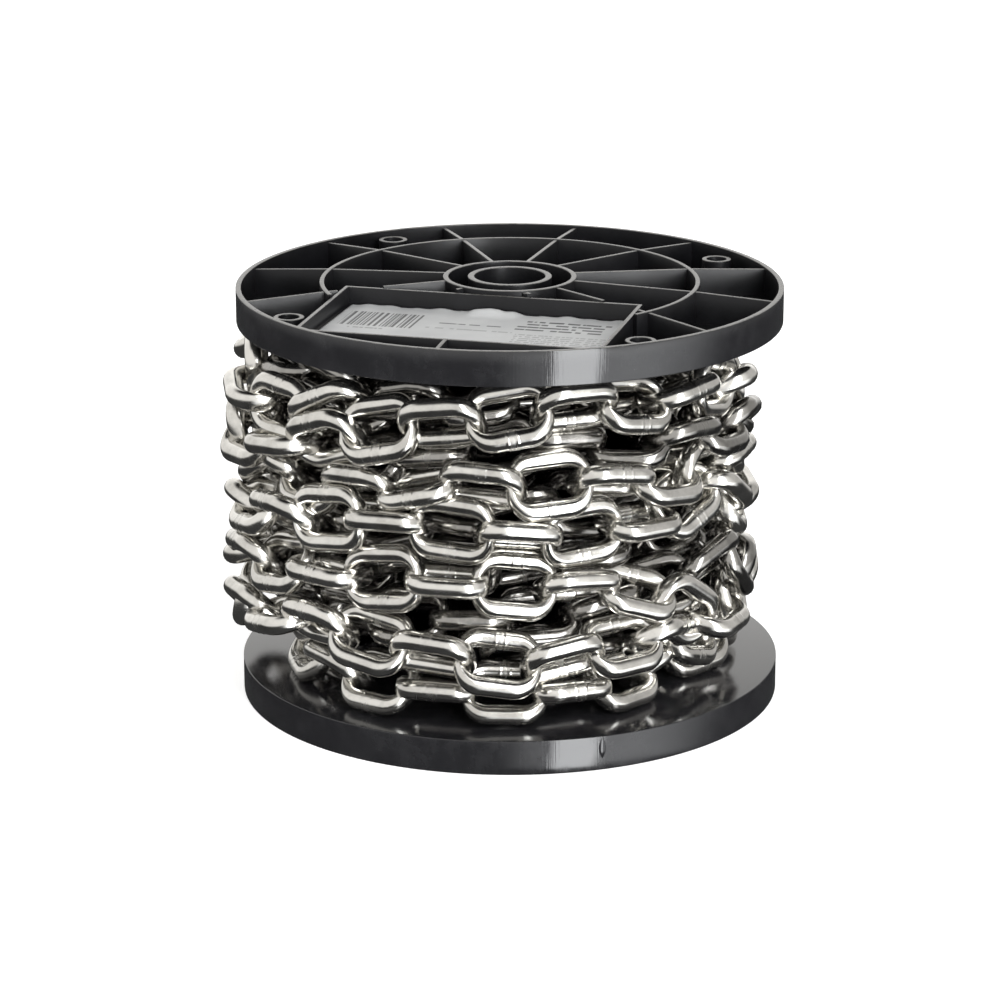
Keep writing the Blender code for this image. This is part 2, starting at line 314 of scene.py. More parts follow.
# Corners of a closed outline rounded off; an outline point is (x, y) or (x, y, "sharp")
def rounded_outline(outline, radius, steps=3):
    result = []
    count = len(outline)
    for index, corner in enumerate(outline):
        here = Vector(corner[:2])
        if len(corner) > 2:
            result.append(tuple(here))
            continue
        before = Vector(outline[index - 1][:2]) - here
        after = Vector(outline[(index + 1) % count][:2]) - here
        cut = min(radius, before.length * LONGEST_CUT, after.length * LONGEST_CUT)
        start = here + before.normalized() * cut
        end = here + after.normalized() * cut
        for step in range(steps + 1):
            t = step / steps
            point = start * (1 - t) ** 2 + here * 2 * t * (1 - t) + end * t ** 2
            result.append(tuple(point))
    return result


def turned(outline, centre=(0.0, 0.0), segments=TURNED_SEGMENTS):
    points = []
    faces = []
    for radius, height in outline:
        for step in range(segments):
            angle = 2 * math.pi * step / segments
            x = centre[0] + radius * math.cos(angle)
            points.append((x, centre[1] + radius * math.sin(angle), height))
    for ring in range(len(outline)):
        here = ring * segments
        there = (ring + 1) % len(outline) * segments
        for step in range(segments):
            after = (step + 1) % segments
            faces.append((here + step, here + after, there + after, there + step))
    return points, faces


# Faces of a tube through rings of points that lie one after the other
def tube_faces(rings, size, closed=True):
    faces = []
    for ring in range(rings if closed else rings - 1):
        here = ring * size
        there = (ring + 1) % rings * size
        for k in range(size):
            n = (k + 1) % size
            faces.append((here + k, there + k, there + n, here + n))
    return faces


# Wall with a rounded top, run along plan points that each have their own top height
def wall(path, tops, thickness, bottom, closed=False):
    half = thickness / 2
    soft = EDGE_ROUND
    bevel = 0.3 * soft
    points = []
    count = len(path)
    for index, (x, y) in enumerate(path):
        here = Vector((x, y))
        back = Vector(path[index - 1]) if closed or index > 0 else None
        ahead = Vector(path[(index + 1) % count]) if closed or index < count - 1 else None
        into = (here - back).normalized() if back is not None else (ahead - here).normalized()
        out = (ahead - here).normalized() if ahead is not None else into
        side = Vector((-into.y, into.x)) + Vector((-out.y, out.x))
        side.normalize()
        side /= max(MITRE_LIMIT, side.dot(Vector((-out.y, out.x))))
        top = tops[index]
        profile = (
            (-half, bottom), (-half, top - soft), (-half + bevel, top - bevel), (-half + soft, top),
            (half - soft, top), (half - bevel, top - bevel), (half, top - soft), (half, bottom),
        )
        for across, height in profile:
            points.append((x + side.x * across, y + side.y * across, height))
    size = len(profile)
    faces = tube_faces(count, size, closed)
    if not closed:
        faces.append(tuple(range(size)))
        last = (count - 1) * size
        faces.append(tuple(last + k for k in reversed(range(size))))
    return points, faces


# From the pocket's frame to the plan, and the same the other way round
def pocket_point(across, out):
    return (across * POCKET_COSINE + out * POCKET_SINE, across * POCKET_SINE - out * POCKET_COSINE)


def in_pocket(x, y):
    across, out = pocket_point(x, y)
    if abs(across) > POCKET_HALF_WIDTH or out < POCKET_NEAR or out > POCKET_FAR:
        return False
    slant = (abs(across) - POCKET_CORNER_ACROSS) / (POCKET_HALF_WIDTH - POCKET_CORNER_ACROSS)
    return out < POCKET_FAR - max(0.0, slant) * (POCKET_FAR - POCKET_CORNER_OUT)


# Stretches of a plan line that stay clear of the pocket
def clear_stretches(samples):
    stretches = [[]]
    for point in samples:
        if in_pocket(*point):
            stretches.append([])
        else:
            stretches[-1].append(point)
    return [stretch for stretch in stretches if len(stretch) > 1]


def ring_height(radius, hub_top, mid_top, end_top):
    marks = (HUB_RADIUS - WALL / 2, MID_RING_RADIUS - RING_WALL / 2, FLANGE_RADIUS - WALL / 2)
    return float(np.interp(radius, marks, (hub_top, mid_top, end_top)))


# Plan point at an angle that goes round from the back of the reel
def compass(radius, angle):
    return (radius * math.sin(angle), radius * math.cos(angle))


def flange_shape(hub_top, mid_top, end_top, with_pocket):
    shape = Shape()
    rim_inside = FLANGE_RADIUS - WALL
    # Rim and web in one turned outline, corners of the web at the walls left sharp
    disc = (
        (BORE_RADIUS, 0.0), (BORE_RADIUS, hub_top), (SPINDLE_TUBE_RADIUS, hub_top),
        (SPINDLE_TUBE_RADIUS, WEB, "sharp"), (HUB_RADIUS - WALL, WEB, "sharp"), (HUB_RADIUS - WALL, hub_top),
        (HUB_RADIUS, hub_top), (HUB_RADIUS, WEB, "sharp"), (rim_inside, WEB, "sharp"),
        (rim_inside, FLANGE_HEIGHT), (FLANGE_RADIUS, FLANGE_HEIGHT), (FLANGE_RADIUS, 0.0),
    )
    shape.add(*turned(rounded_outline(disc, EDGE_ROUND)))
    ring_radius = MID_RING_RADIUS - RING_WALL / 2
    # It starts inside the pocket, so that its clear part is one stretch
    start = math.pi - POCKET_TURN
    around = [compass(ring_radius, start + 2 * math.pi * k / RING_STEPS) for k in range(RING_STEPS + 1)]
    if with_pocket:
        for stretch in clear_stretches(around):
            shape.add(*wall(stretch, [mid_top] * len(stretch), RING_WALL, WEB - SUNK))
    else:
        shape.add(*wall(around[:-1], [mid_top] * RING_STEPS, RING_WALL, WEB - SUNK, closed=True))
    for index in range(RIB_COUNT):
        angle = 2 * math.pi * (index + 0.5) / RIB_COUNT
        inner = HUB_RADIUS - WALL / 2
        outer = FLANGE_RADIUS - WALL / 2
        samples = [compass(inner + (outer - inner) * k / RIB_STEPS, angle) for k in range(RIB_STEPS + 1)]
        stretches = clear_stretches(samples) if with_pocket else [samples]
        for stretch in stretches:
            ends = [stretch[0], stretch[-1]]
            # A rib that crosses the mid ring bends there
            middle = [p for p in stretch if abs(math.hypot(*p) - ring_radius) < 0.5][:1]
            path = [ends[0]] + middle + [ends[1]] if middle else ends
            tops = [ring_height(math.hypot(*p), hub_top, mid_top, end_top) - RIB_DROP for p in path]
            shape.add(*wall(path, tops, RIB_THICKNESS, WEB - SUNK))
    for degrees in BOSS_ANGLES:
        centre = compass(BOSS_CIRCLE, math.radians(degrees))
        post = (
            (BOSS_HOLE_RADIUS, WEB - SUNK, "sharp"), (BOSS_HOLE_RADIUS, BOSS_TOP), (BOSS_RADIUS, BOSS_TOP),
            (BOSS_RADIUS, WEB - SUNK, "sharp"),
        )
        shape.add(*turned(rounded_outline(post, EDGE_ROUND), centre, BOSS_SEGMENTS))
    return shape


def add_pocket(shape):
    half = POCKET_HALF_WIDTH - WALL / 2
    near = POCKET_NEAR + WALL / 2
    far = POCKET_FAR - WALL / 2
    shoulder = POCKET_CORNER_OUT - WALL / 2
    corner = POCKET_CORNER_ACROSS - WALL * 0.3
    frame_points = (
        (-half, near), (half, near), (half, shoulder), (corner, far), (-corner, far), (-half, shoulder),
    )
    path = [pocket_point(a, o) for a, o in frame_points]
    tops = [POCKET_TOP_NEAR] * 2 + [POCKET_TOP_FAR] * 4
    shape.add(*wall(path, tops, WALL * 0.8, WEB - SUNK, closed=True))
    # Floor as a slab inside the walls
    low = [(x, y, POCKET_FLOOR - WALL) for x, y in path]
    high = [(x, y, POCKET_FLOOR) for x, y in path]
    count = len(path)
    faces = [tuple(reversed(range(count))), tuple(range(count, 2 * count))]
    faces += [(k, (k + 1) % count, count + (k + 1) % count, count + k) for k in range(count)]
    shape.add(low + high, faces)


def placed(points, lift=0.0, flip=False):
    side = -1 if flip else 1
    return [(REEL_AXIS_X + x, side * y, lift + side * z) for x, y, z in points]


def sharpen(item, degrees=35):
    item.data.set_sharp_from_angle(angle=math.radians(degrees))


# The mould is polished on the rim's outer face and the chain side of the web, which mirror the
# studio. The upward tops of the edges of ribs, rings and rim are painted pale, a painted highlight.
def finish_faces(item, polished, edge_highlight, chain_side):
    item.data.materials.append(polished)
    item.data.materials.append(edge_highlight)
    near_rim = FLANGE_RADIUS - 0.25
    near_web = 0.05
    level = 0.6
    for face in item.data.polygons:
        x, y, z = (value / MM for value in face.center)
        on_rim = math.hypot(x - REEL_AXIS_X, y) > near_rim
        on_web = abs(z - chain_side) < near_web
        # Upward faces high on ribs, rings and rim take the pale material, a painted highlight
        on_edge = abs(face.normal.z) > level and abs(z - chain_side) > EDGE_LEVEL
        if on_edge:
            face.material_index = 2
        elif on_rim or on_web:
            face.material_index = 1


# Lens-shaped moulding mark that stands a little off the lower rim
def add_rim_mark(shape):
    steps = 12
    points = []
    for depth in (0, 1):
        for j in range(steps + 1):
            along = 2 * j / steps - 1
            for i in range(steps + 1):
                across = 2 * i / steps - 1
                swell = MARK_SWELL * (1 - across ** 2) * (1 - along ** 2)
                radius = FLANGE_RADIUS - MARK_SKIN + swell if depth == 0 else FLANGE_RADIUS - MARK_BACK
                shift = across * MARK_WIDTH / 2 * (1 - along ** 2)
                x, y = compass(radius, MARK_ANGLE + shift / FLANGE_RADIUS)
                points.append((x, y, FLANGE_HEIGHT - MARK_HEIGHT - along * MARK_LENGTH / 2))
    faces = []
    row = steps + 1
    back = row * row
    for j in range(steps):
        for i in range(steps):
            k = j * row + i
            faces.append((k, k + 1, k + row + 1, k + row))
            faces.append((back + k, back + k + row, back + k + row + 1, back + k + 1))
        for k, n in ((j * row, (j + 1) * row), ((j + 1) * row + steps, j * row + steps)):
            faces.append((k, n, back + n, back + k))
    for i in range(steps):
        for k, n in ((i + 1, i), (steps * row + i, steps * row + i + 1)):
            faces.append((k, n, back + n, back + k))
    shape.add(points, faces)


def make_flange(name, node, shape, chain_side, plastics, flip=False):
    # The third plastic is a pale copy that paints a highlight on the tops of edges
    moulded, polished, edge_highlight = plastics
    points = placed(shape.points, chain_side, flip)
    item = make_piece(name, points, shape.faces, moulded, [node])
    finish_faces(item, polished, edge_highlight, chain_side)
    sharpen(item)


def make_top_flange(plastics):
    shape = flange_shape(HUB_TOP, MID_RING_TOP, RIB_END_TOP, True)
    add_pocket(shape)
    low, high = (HUB_TOP - depth for depth in STUB_DEPTHS)
    stub = ((0.0, low), (0.0, high), (STUB_RADIUS, high), (STUB_RADIUS, low))
    shape.add(*turned(rounded_outline(stub, 0.3), compass(HUB_RADIUS + 1.0, STUB_ANGLE), 16))
    make_flange("top_flange", "upper_flange", shape, REEL_HEIGHT - FLANGE_HEIGHT, plastics)


def make_foot_flange(plastics):
    shape = flange_shape(FLANGE_HEIGHT, RIB_END_TOP, RIB_END_TOP, False)
    add_rim_mark(shape)
    make_flange("foot_flange", "lower_flange", shape, FLANGE_HEIGHT, plastics, flip=True)


# Barrel and spindle tube, joined by radial ribs
def make_drum(material):
    shape = Shape()
    bottom = FLANGE_HEIGHT + DRUM_GAP
    top = REEL_HEIGHT - FLANGE_HEIGHT - DRUM_GAP
    for inner, outer in ((BORE_RADIUS, SPINDLE_TUBE_RADIUS), (HUB_RADIUS - WALL, HUB_RADIUS)):
        tube = ((inner, bottom), (inner, top), (outer, top), (outer, bottom))
        shape.add(*turned(rounded_outline(tube, 0.3), (0.0, 0.0), TUBE_SEGMENTS))
    for index in range(DRUM_RIBS):
        angle = 2 * math.pi * index / DRUM_RIBS
        path = [compass(SPINDLE_TUBE_RADIUS - SUNK, angle), compass(HUB_RADIUS - WALL + SUNK, angle)]
        shape.add(*wall(path, [top - DRUM_RIB_INSET] * 2, RIB_THICKNESS, bottom + DRUM_RIB_INSET))
    points = placed(shape.points)
    item = make_piece("reel_drum", points, shape.faces, material, ["drum"])
    sharpen(item)


# Paper label, stuck down except for small lifts along its back edge
def make_label(material):
    across_steps = 160
    out_steps = 60
    base = REEL_HEIGHT - FLANGE_HEIGHT + POCKET_FLOOR + LABEL_GAP
    points = []
    for j in range(out_steps + 1):
        out = LABEL_NEAR + (LABEL_FAR - LABEL_NEAR) * j / out_steps
        edge = math.exp(-(out - LABEL_NEAR) / WAVE_DEPTH)
        near_edge = math.exp(-((out - LABEL_NEAR - BLISTER_PLACE) / BLISTER_DEPTH) ** 2)
        for i in range(across_steps + 1):
            across = LABEL_HALF_WIDTH * (2 * i / across_steps - 1)
            lift = WAVE_LIFT + WAVE_LIFT * math.sin(across * 0.21) + 0.25 * math.sin(across * 0.53 + 1.0)
            lift = edge * lift
            for middle, reach, rise in BLISTERS:
                lift += rise * near_edge * math.exp(-((across - middle) / reach) ** 4)
            x, y = pocket_point(across, out)
            points.append((REEL_AXIS_X + x, y, base + LABEL_THICKNESS + max(0.0, lift)))
    faces = []
    row = across_steps + 1
    for j in range(out_steps):
        for i in range(across_steps):
            k = j * row + i
            faces.append((k, k + row, k + row + 1, k + 1))
    item = make_piece("paper_label", points, faces, material, ["label"])
    layer = item.data.uv_layers.new(name="label")
    for loop in item.data.loops:
        k = loop.vertex_index
        layer.data[loop.index].uv = ((k % row) / across_steps, 1 - (k // row) / out_steps)
    thick = item.modifiers.new("Thickness", "SOLIDIFY")
    thick.thickness = LABEL_THICKNESS * MM
    thick.offset = -1


# Centre line of a link for contact tests: evenly spaced points (along, across)
def link_centre_line(steps):
    along = PITCH / 2 + CROWN / 2 - LINK_CORNER
    across = LINK_WIDTH / 2 - WIRE / 2 - LINK_CORNER
    corners = []
    for sign_x, sign_y, start in ((1, 1, 0), (-1, 1, 90), (-1, -1, 180), (1, -1, 270)):
        for degrees in range(start, start + 91, 15):
            turn = math.radians(degrees)
            x = sign_x * along + LINK_CORNER * math.cos(turn)
            corners.append((x, sign_y * across + LINK_CORNER * math.sin(turn)))
    corners = np.array(corners + corners[:1])
    reach = np.concatenate([[0], np.cumsum(np.linalg.norm(np.diff(corners, axis=0), axis=1))])
    spots = np.linspace(0, reach[-1], steps, endpoint=False)
    return np.stack([np.interp(spots, reach, corners[:, 0]), np.interp(spots, reach, corners[:, 1])], 1)


# One strand: front joints as listed, and the joints between two rows spaced round the back
def listed_strand(rows, back_radius):
    joints = []
    rolls = []
    starts = []
    for number, row in enumerate(rows):
        starts.append(len(joints))
        for angle, height, radius, roll in row:
            joints.append((angle + 360 * number, height, radius))
            rolls.append(roll)
        if number + 1 == len(rows):
            break
        angle_0, height_0, radius_0 = joints[-1]
        angle_1, height_1, radius_1, _ = rows[number + 1][0]
        angle_1 += 360 * (number + 1)
        arc = math.radians(angle_1 - angle_0) * (back_radius + (radius_0 + radius_1) / 2) / 2
        count = max(1, round(arc / (PITCH + LISTED_SLACK)))
        for k in range(1, count):
            part = k / count
            radius = radius_0 + (radius_1 - radius_0) * part
            radius += (back_radius - radius) * math.sin(math.pi * part) ** 0.5
            height = height_0 + (height_1 - height_0) * part
            joints.append((angle_0 + (angle_1 - angle_0) * part, height, radius))
            rolls.append(None)
    return joints, rolls, starts


def helix_strand(radius, rows, low, high, start):
    turns = rows - 1
    count = int(2 * math.pi * radius * turns / (PITCH + HELIX_SLACK))
    joints = []
    for k in range(count + 1):
        part = k / count
        joints.append((start + 360 * turns * part, low + (high - low) * part, radius))
    return joints, [None] * (count + 1), [0]


def joint_points(joints):
    table = np.array(joints, float)
    turn = np.radians(table[:, 0])
    x = WINDING_X + table[:, 2] * np.sin(turn)
    y = -table[:, 2] * np.cos(turn)
    return np.stack([x, y, table[:, 1]], 1)


# Rolls that the photo doesn't give change by about a quarter turn from link to link
def fill_rolls(rolls, rng):
    sign = 1
    result = []
    for roll in rolls:
        if roll is None:
            sign = -sign
            result.append(sign * FREE_ROLL + rng.uniform(-FREE_ROLL_SPREAD, FREE_ROLL_SPREAD))
        else:
            result.append(roll)
            sign = 1 if roll > 0 else -1
    return np.radians(result)


# Middle of each link, its direction along the strand, and its direction across
def link_frames(joints, first, rolls):
    start = joints[first]
    end = joints[first + 1]
    centre = (start + end) / 2
    along = end - start
    along /= np.linalg.norm(along, axis=1, keepdims=True)
    outward = centre * (1.0, 1.0, 0.0) - (WINDING_X, 0.0, 0.0)
    outward /= np.linalg.norm(outward, axis=1, keepdims=True)
    outward -= (outward * along).sum(1, keepdims=True) * along
    outward /= np.linalg.norm(outward, axis=1, keepdims=True)
    up = np.cross(outward, along)
    across = np.cos(rolls)[:, None] * up + np.sin(rolls)[:, None] * outward
    return centre, along, across


# Pairs of sample points in the same or neighbouring cells of a grid, one wire thickness wide
def near_pairs(samples):
    cell = np.floor(samples / WIRE).astype(np.int64)
    cell -= cell.min(0) - 1
    size = cell.max(0) + 2
    key = (cell[:, 0] * size[1] + cell[:, 1]) * size[2] + cell[:, 2]
    order = np.argsort(key, kind="stable")
    ranked = key[order]
    steps = [(x, y, z) for x in (-1, 0, 1) for y in (-1, 0, 1) for z in (-1, 0, 1) if (x, y, z) >= (0, 0, 0)]
    for x, y, z in steps:
        other = key + (x * size[1] + y) * size[2] + z
        low = np.searchsorted(ranked, other, "left")
        many = np.searchsorted(ranked, other, "right") - low
        first = np.repeat(np.arange(len(samples)), many)
        offset = np.repeat(low - np.concatenate([[0], np.cumsum(many)[:-1]]), many)
        second = order[np.arange(many.sum()) + offset]
        if (x, y, z) == (0, 0, 0):
            keep = first < second
            first = first[keep]
            second = second[keep]
        yield first, second


# Push on each sample point from links nearer than one wire thickness. Neighbours in a strand hang
# in each other and are left out.
def contact_push(samples, owner, strand):
    push = np.zeros_like(samples)
    hits = np.zeros(len(samples))
    for one, two in near_pairs(samples):
        keep = (np.abs(owner[one] - owner[two]) > 1) | (strand[owner[one]] != strand[owner[two]])
        one = one[keep]
        two = two[keep]
        apart = samples[two] - samples[one]
        distance = np.linalg.norm(apart, axis=1)
        keep = (distance < WIRE) & (distance > 1e-6)
        one = one[keep]
        two = two[keep]
        move = apart[keep] * ((WIRE / distance[keep] - 1) / 2)[:, None]
        for axis in range(3):
            push[:, axis] += np.bincount(two, move[:, axis], len(samples))
            push[:, axis] -= np.bincount(one, move[:, axis], len(samples))
        hits += np.bincount(two, minlength=len(samples)) + np.bincount(one, minlength=len(samples))
    push /= np.maximum(hits, 1)[:, None]
    return push, hits > 0


# Adds the push back between the flanges, inside the outer limit and outside the barrel
def wall_push(samples, push):
    low = np.clip(WIRE / 2 - samples[:, 2], 0, None)
    high = np.clip(samples[:, 2] - (CHAMBER - WIRE / 2), 0, None)
    push[:, 2] += low - high
    flat = samples[:, :2] - (WINDING_X, 0.0)
    radius = np.linalg.norm(flat, axis=1)
    beyond = np.clip(radius - (OUTER_LIMIT - WIRE / 2), 0, None)
    push[:, :2] -= flat / radius[:, None] * beyond[:, None]
    from_axis = samples[:, :2] - (REEL_AXIS_X, 0.0)
    reach = np.linalg.norm(from_axis, axis=1)
    inside = np.clip(INNER_LIMIT + WIRE / 2 - reach, 0, None)
    push[:, :2] += from_axis / reach[:, None] * inside[:, None]
    return (low > 0) | (high > 0) | (inside > 0) | (beyond > 0)


# Turns neighbours in a strand apart until they stand at least the least roll step from each other
def part_rolls(rolls, same):
    for _ in range(ROLL_ROUNDS):
        change = (rolls[1:] - rolls[:-1] + math.pi / 2) % math.pi - math.pi / 2
        lack = np.clip(LEAST_ROLL_STEP - np.abs(change), 0, None) * np.sign(change) * same
        rolls[1:] += lack * ROLL_SHARE
        rolls[:-1] -= lack * ROLL_SHARE


# Brings the joints of each link back to one pitch from each other, even and odd links in turn
def keep_pitch(joints, first):
    for _ in range(PITCH_ROUNDS):
        for parity in (0, 1):
            some = first[parity::2]
            gap = joints[some + 1] - joints[some]
            length = np.linalg.norm(gap, axis=1, keepdims=True)
            joints[some] += gap * (length - PITCH) / length / 2
            joints[some + 1] -= gap * (length - PITCH) / length / 2


# Lets the strands settle: pushes move links and turn them about their length, joints that the photo
# gives are drawn back to their places, and every link keeps its pitch
def settle(joints, rolls, first, strand, held):
    line = link_centre_line(CONTACT_SAMPLES)
    along_part = np.clip((line[:, 0] + PITCH / 2) / PITCH, 0, 1)
    count = len(first)
    owner = np.repeat(np.arange(count), CONTACT_SAMPLES)
    sight = np.array([0.0, math.cos(CAMERA_ELEVATION), -math.sin(CAMERA_ELEVATION)])
    joints_0 = joints.copy()
    rolls_0 = rolls.copy()
    same = strand[1:] == strand[:-1]
    for step in range(SETTLE_STEPS):
        centre, along, across = link_frames(joints, first, rolls)
        samples = centre[:, None] + line[None, :, :1] * along[:, None] + line[None, :, 1:] * across[:, None]
        samples = samples.reshape(-1, 3)
        push, hit = contact_push(samples, owner, strand)
        touched = (hit | wall_push(samples, push)).reshape(count, -1)
        push = push.reshape(count, CONTACT_SAMPLES, 3)
        share = np.maximum(touched.sum(1), 1)[:, None]
        to_start = (push * (1 - along_part)[None, :, None]).sum(1) / share * PUSH_GAIN
        to_end = (push * along_part[None, :, None]).sum(1) / share * PUSH_GAIN
        lever = across[:, None] * line[None, :, 1:]
        turning = (np.cross(lever, push) * along[:, None]).sum(2).sum(1)
        twist = turning / (share[:, 0] * TWIST_LEVER) * PUSH_GAIN
        rolls = rolls + np.clip(twist, -MOST_TWIST, MOST_TWIST)
        move = np.zeros_like(joints)
        np.add.at(move, first, to_start)
        np.add.at(move, first + 1, to_end)
        joints = joints + np.clip(move, -LONGEST_MOVE, LONGEST_MOVE)
        if step < SETTLE_STEPS * TIGHTEN_UNTIL:
            flat = joints[:, :2] - (WINDING_X, 0.0)
            inward = flat / np.linalg.norm(flat, axis=1, keepdims=True)
            joints[:, :2] -= inward * TIGHTEN * (1 - TIGHTEN_RELIEF * held[:, None])
        drift = joints_0 - joints
        drift -= SIGHT_RELIEF * (drift @ sight)[:, None] * sight
        joints += drift * (HOLD_JOINT * held)[:, None]
        rolls += (rolls_0 - rolls) * HOLD_ROLL * held[first]
        part_rolls(rolls, same)
        keep_pitch(joints, first)
    return joints, rolls


# One link as a mesh: rings of points round the wire, with a weld bulge on one side bar. A step of
# the path has its place, its outward direction, the bulge and the distance from the weld.
def link_template(sides, corner_steps, with_weld=False):
    along = PITCH / 2 + CROWN / 2
    across = LINK_WIDTH / 2 - WIRE / 2
    path = []

    def corner(sign_x, sign_y, start):
        for k in range(corner_steps + 1):
            turn = math.radians(start) + math.pi / 2 * k / corner_steps
            path.append((
                sign_x * (along - LINK_CORNER) + LINK_CORNER * math.cos(turn),
                sign_y * (across - LINK_CORNER) + LINK_CORNER * math.sin(turn),
                math.cos(turn), math.sin(turn), 0.0, NO_WELD,
            ))

    corner(1, 1, 0)
    for mark in reversed(WELD_MARKS if with_weld else PLAIN_MARKS):
        rise = WELD_RISE.get(abs(mark), 0.0) if with_weld else 0.0
        path.append((mark, across, 0.0, 1.0, rise, mark))
    corner(-1, 1, 90)
    path.append((-along, 0.0, -1.0, 0.0, 0.0, NO_WELD))
    corner(-1, -1, 180)
    for mark in PLAIN_MARKS:
        path.append((mark, -across, 0.0, -1.0, 0.0, NO_WELD))
    corner(1, -1, 270)
    path.append((along, 0.0, 1.0, 0.0, 0.0, NO_WELD))
    points = []
    weld = []
    for x, y, out_x, out_y, rise, mark in path:
        squash = out_x * out_x
        reach = (WIRE / 2) * (1 - squash) + (CROWN / 2) * squash + rise
        for k in range(sides):
            turn = 2 * math.pi * k / sides
            points.append((
                x + out_x * reach * math.cos(turn),
                y + out_y * reach * math.cos(turn),
                (WIRE / 2 + rise) * math.sin(turn),
            ))
            weld.append(mark)
    return np.array(points), np.array(tube_faces(len(path), sides)), np.array(weld)


# The template set at each link of a part of the chain, with the distance from the weld and one tone
# for the whole link as attributes
def chain_piece(name, frames, part, template, material, replaces, rng):
    centre, along, across = (values[part] for values in frames)
    points, faces, weld = template
    normal = np.cross(along, across)
    count = len(centre)
    # The weld sits on one bar or the other
    flip = np.where(rng.random(count) < 0.5, 1.0, -1.0)
    world = (
        centre[:, None]
        + points[None, :, :1] * along[:, None]
        + points[None, :, 1:2] * across[:, None] * flip[:, None, None]
        + points[None, :, 2:] * normal[:, None] * flip[:, None, None]
    ).reshape(-1, 3)
    world[:, 2] += FLANGE_HEIGHT
    all_faces = (faces[None] + (np.arange(count) * len(points))[:, None, None]).reshape(-1, 4)
    mesh = bpy.data.meshes.new(name)
    mesh.vertices.add(len(world))
    mesh.vertices.foreach_set("co", (world * MM).ravel())
    mesh.loops.add(all_faces.size)
    mesh.loops.foreach_set("vertex_index", all_faces.ravel().astype(np.int32))
    mesh.polygons.add(len(all_faces))
    mesh.polygons.foreach_set("loop_start", np.arange(0, all_faces.size, 4, dtype=np.int32))
    mesh.update(calc_edges=True)
    mesh.shade_smooth()
    distance = mesh.attributes.new("weld", "FLOAT", "POINT")
    distance.data.foreach_set("value", np.tile(weld, count).astype(np.float32))
    tone = mesh.attributes.new("tone", "FLOAT", "POINT")
    tone.data.foreach_set("value", np.repeat(rng.random(count), len(points)).astype(np.float32))
    item = add_object(name, mesh)
    mesh.materials.append(material)
    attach(item, "root")
    if replaces:
        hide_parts(*replaces)


# bright is the wire's own colour; shaded and deep are darker copies of it, painted shade for the layers
# below
def wind_chain(bright, shaded, deep):
    rng = np.random.default_rng(CHAIN_SEED)
    strands = [
        listed_strand(OUTER_ROWS, OUTER_BACK_RADIUS),
        listed_strand(SECOND_LAYER_ROWS, SECOND_BACK_RADIUS),
    ]
    for layer in INNER_LAYERS:
        strands.append(helix_strand(*layer))
    # All strands in one: joints, rolls of the links, first joint and strand of each link, and which
    # joints the photo gives
    tables = []
    base = 0
    for number, (spots, spot_rolls, _) in enumerate(strands):
        links = np.arange(len(spots) - 1)
        held = np.array([float(roll is not None) for roll in spot_rolls])
        rolls = fill_rolls(spot_rolls, rng)[:-1]
        tables.append((joint_points(spots), rolls, base + links, np.full(len(links), number), held))
        base += len(spots)
    joints, rolls, first, strand, held = (np.concatenate(parts) for parts in zip(*tables))
    joints, rolls = settle(joints, rolls, first, strand, held)
    frames = link_frames(joints, first, rolls)
    fine = link_template(*FINE_LINK, with_weld=True)
    plain = link_template(*PLAIN_LINK)
    rough = link_template(*ROUGH_LINK)
    starts = strands[0][2] + [len(strands[0][0]) - 1]
    turns = (
        ("chain_foot_turn", ["chain_turn_1"]),
        ("chain_first_turn", ["chain_turn_2"]),
        ("chain_second_turn", ["chain_turn_3"]),
        ("chain_third_turn", ["chain_turn_4"]),
        ("chain_fourth_turn", ["chain_turn_5"]),
        ("chain_fifth_turn", ["chain_turn_7"]),
        ("chain_strand_end", []),
    )
    for number, (name, nodes) in enumerate(turns):
        part = slice(starts[number], starts[number + 1])
        chain_piece(name, frames, part, fine, bright, nodes, rng)
    # The layers under the outer one take the darker steels, painted shade for the depths of the winding
    chain_piece("chain_second_layer", frames, strand == 1, plain, shaded, ["chain_turn_6"], rng)
    chain_piece("chain_inner_layers", frames, strand > 1, rough, deep, ["winding_core"], rng)


# Noise in object space, with its scale in patches a metre
def noise(tree, vector, scale, detail, roughness=0.5):
    inputs = {"Vector": vector, "Scale": scale, "Detail": detail, "Roughness": roughness}
    return add_node(tree, "ShaderNodeTexNoise", inputs).outputs["Fac"]


# A value's range from low to high spread over another range, and cut off beyond it
def spread(tree, value, low, high, to_low, to_high, shape="LINEAR"):
    inputs = {"Value": value, "From Min": low, "From Max": high, "To Min": to_low, "To Max": to_high}
    return add_node(tree, "ShaderNodeMapRange", inputs, interpolation_type=shape).outputs[0]


def arithmetic(tree, operation, *entries):
    return add_node(tree, "ShaderNodeMath", enumerate(entries), operation=operation).outputs[0]


def times(tree, first, second):
    return arithmetic(tree, "MULTIPLY", first, second)


# Two colours and the shares between which one goes over into the other
def between_colours(tree, share, dark, light, low, high):
    ramp = add_node(tree, "ShaderNodeValToRGB", {"Fac": share})
    for element, position, code in zip(ramp.color_ramp.elements, (low, high), (dark, light)):
        element.position = position
        element.color = linear_colour(code)
    return ramp.outputs["Color"]


def add_bump(tree, shader, height, strength, distance):
    inputs = {"Height": height, "Strength": strength, "Distance": distance}
    feed(shader.inputs["Normal"], add_node(tree, "ShaderNodeBump", inputs).outputs["Normal"])


# 1 in a stretch of a value and 0 outside, for edges (rise from, rise to, fall from, fall to)
def window(tree, value, edges):
    up = spread(tree, value, *edges[:2], 0.0, 1.0, "SMOOTHSTEP")
    down = spread(tree, value, *edges[2:], 1.0, 0.0, "SMOOTHSTEP")
    return times(tree, up, down)


